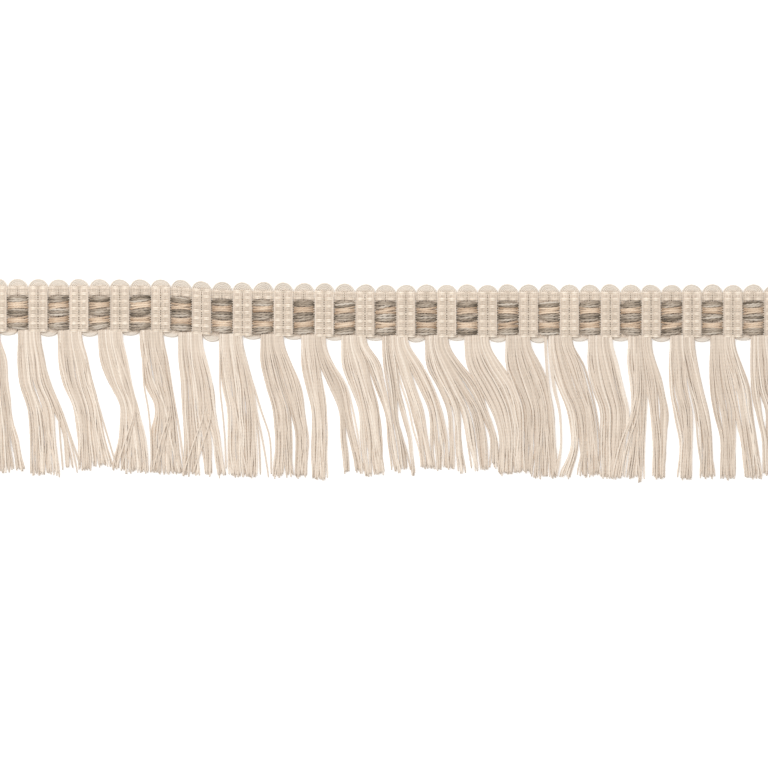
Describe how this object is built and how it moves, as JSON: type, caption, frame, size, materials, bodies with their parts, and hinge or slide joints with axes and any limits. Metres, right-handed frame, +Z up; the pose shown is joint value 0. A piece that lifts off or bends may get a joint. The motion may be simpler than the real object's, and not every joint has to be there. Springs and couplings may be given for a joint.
{
  "type": "chainette fringe trim",
  "caption": "Straight cut length of narrow woven fringe trim: a patterned heading with scalloped edges and a row of cut yarn tufts, lying flat face up.",
  "frame": {"origin": "middle of the whole trim's outline, on the surface that it lies on", "axes": "+X along the length of the trim, +Y from the fringe's cut tips towards the heading, +Z up out of the patterned face"},
  "size_m": [0.24, 0.0594, 0.0022],
  "materials": {
    "cream_yarn": "matt natural cream cotton yarn, softly twisted",
    "grey_yarn": "matt taupe grey cotton yarn, plied",
    "tan_yarn": "matt light tan cotton yarn, plied"
  },
  "bodies": {
    "root": {"heading": "cream_yarn", "tuft_01": "cream_yarn", "tuft_02": "cream_yarn", "tuft_03": "cream_yarn", "tuft_04": "cream_yarn", "tuft_05": "cream_yarn", "tuft_06": "cream_yarn", "tuft_07": "cream_yarn", "tuft_08": "cream_yarn", "tuft_09": "cream_yarn", "tuft_10": "cream_yarn", "tuft_11": "cream_yarn", "tuft_12": "cream_yarn", "tuft_13": "cream_yarn", "tuft_14": "cream_yarn", "tuft_15": "cream_yarn", "tuft_16": "cream_yarn", "tuft_17": "cream_yarn", "tuft_18": "cream_yarn", "tuft_19": "cream_yarn", "tuft_20": "cream_yarn"}
  },
  "joints": []
}
